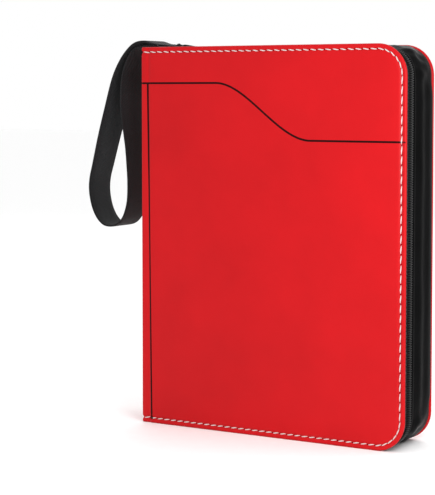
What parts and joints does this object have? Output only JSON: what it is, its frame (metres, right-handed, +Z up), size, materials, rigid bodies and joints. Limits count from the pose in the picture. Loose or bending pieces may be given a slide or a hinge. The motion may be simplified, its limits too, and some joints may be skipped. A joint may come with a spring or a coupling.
{
  "type": "trading card binder",
  "caption": "Zip-around leather card album with padded covers, pocket leaves, a deep black gusset and a webbing wrist strap.",
  "frame": {"origin": "centre of the bounding box of the closed album and its strap, at the bottom edge it stands on", "axes": "+X from the spine to the fore edge, +Y from the front cover to the back cover, +Z up"},
  "size_m": [0.2136, 0.039, 0.2288],
  "materials": {
    "cover_leather": "smooth coated leather, satin",
    "board": "stiffening board",
    "foam": "thin padding foam",
    "lining": "woven lining",
    "binding": "sewn binding strip",
    "webbing": "woven nylon webbing",
    "zip_tape": "knitted zip tape",
    "gusset": "smooth coated fabric",
    "zip_coil": "moulded nylon coil",
    "slider_metal": "black lacquer",
    "pull_cord": "moulded grip",
    "leaf_sheet": "embossed polypropylene",
    "pocket_film": "clear film",
    "card": "coated card"
  },
  "bodies": {
    "spine": {"spine_skin": "cover_leather", "spine_board": "board", "spine_lining": "lining", "spine_end_top": "lining", "spine_end_bottom": "lining", "page_binding": "binding", "strap_anchor": "webbing"},
    "front_case": {"front_skin": "cover_leather", "front_foam": "foam", "front_board": "board", "front_lining": "lining", "front_zip_tape": "zip_tape", "front_coil": "zip_coil"},
    "back_case": {"back_skin": "cover_leather", "back_foam": "foam", "back_board": "board", "back_lining": "lining", "back_gusset": "gusset", "back_zip_tape": "zip_tape", "back_coil": "zip_coil", "zip_top_stop": "slider_metal", "zip_bottom_stop": "slider_metal"},
    "slider": {"slider_body": "slider_metal", "slider_bridge": "slider_metal"},
    "puller": {"pull_link": "slider_metal", "pull_tab": "pull_cord"},
    "strap": {"strap_stem": "webbing", "strap_loop": "webbing"},
    "leaf_1": {"leaf_1_sheet": "leaf_sheet", "leaf_1_pockets": "pocket_film", "leaf_1_cards": "card"},
    "leaf_2": {"leaf_2_sheet": "leaf_sheet", "leaf_2_pockets": "pocket_film", "leaf_2_cards": "card"},
    "leaf_3": {"leaf_3_sheet": "leaf_sheet", "leaf_3_pockets": "pocket_film", "leaf_3_cards": "card"},
    "leaf_4": {"leaf_4_sheet": "leaf_sheet", "leaf_4_pockets": "pocket_film", "leaf_4_cards": "card"},
    "leaf_5": {"leaf_5_sheet": "leaf_sheet", "leaf_5_pockets": "pocket_film", "leaf_5_cards": "card"},
    "leaf_6": {"leaf_6_sheet": "leaf_sheet", "leaf_6_pockets": "pocket_film", "leaf_6_cards": "card"}
  },
  "joints": [
    {"name": "front_cover_hinge", "type": "hinge", "parent": "spine", "child": "front_case", "pos_m": [-0.0603, -0.0195, 0.113], "axis": [0, 0, -1], "range_deg": [0, 90]},
    {"name": "back_cover_hinge", "type": "hinge", "parent": "spine", "child": "back_case", "pos_m": [-0.0603, 0.0195, 0.113], "axis": [0, 0, 1], "range_deg": [0, 90]},
    {"name": "zip_slide", "type": "slide", "parent": "back_case", "child": "slider", "axis": [1, 0, 0], "range_m": [0, 0.125]},
    {"name": "puller_flip", "type": "hinge", "parent": "slider", "child": "puller", "pos_m": [-0.04405, -0.011, 0.22715], "axis": [1, 0, 0], "range_deg": [0, 180]},
    {"name": "strap_swing", "type": "hinge", "parent": "spine", "child": "strap", "pos_m": [-0.0673, 0, 0.22735], "axis": [0, 1, 0], "range_deg": [0, 110]},
    {"name": "leaf_1_turn", "type": "hinge", "parent": "spine", "child": "leaf_1", "pos_m": [-0.056, -0.01, 0.113], "axis": [0, 0, -1], "range_deg": [0, 90]},
    {"name": "leaf_2_turn", "type": "hinge", "parent": "spine", "child": "leaf_2", "pos_m": [-0.056, -0.006, 0.113], "axis": [0, 0, -1], "range_deg": [0, 90]},
    {"name": "leaf_3_turn", "type": "hinge", "parent": "spine", "child": "leaf_3", "pos_m": [-0.056, -0.002, 0.113], "axis": [0, 0, -1], "range_deg": [0, 90]},
    {"name": "leaf_4_turn", "type": "hinge", "parent": "spine", "child": "leaf_4", "pos_m": [-0.056, 0.002, 0.113], "axis": [0, 0, 1], "range_deg": [0, 90]},
    {"name": "leaf_5_turn", "type": "hinge", "parent": "spine", "child": "leaf_5", "pos_m": [-0.056, 0.006, 0.113], "axis": [0, 0, 1], "range_deg": [0, 90]},
    {"name": "leaf_6_turn", "type": "hinge", "parent": "spine", "child": "leaf_6", "pos_m": [-0.056, 0.01, 0.113], "axis": [0, 0, 1], "range_deg": [0, 90]}
  ],
  "couplings": [
    {"joint": "leaf_1_turn", "follows": "front_cover_hinge", "ratio": 0.98},
    {"joint": "leaf_2_turn", "follows": "front_cover_hinge", "ratio": 0.87},
    {"joint": "leaf_3_turn", "follows": "front_cover_hinge", "ratio": 0.76},
    {"joint": "leaf_4_turn", "follows": "back_cover_hinge", "ratio": 0.76},
    {"joint": "leaf_5_turn", "follows": "back_cover_hinge", "ratio": 0.87},
    {"joint": "leaf_6_turn", "follows": "back_cover_hinge", "ratio": 0.98}
  ]
}
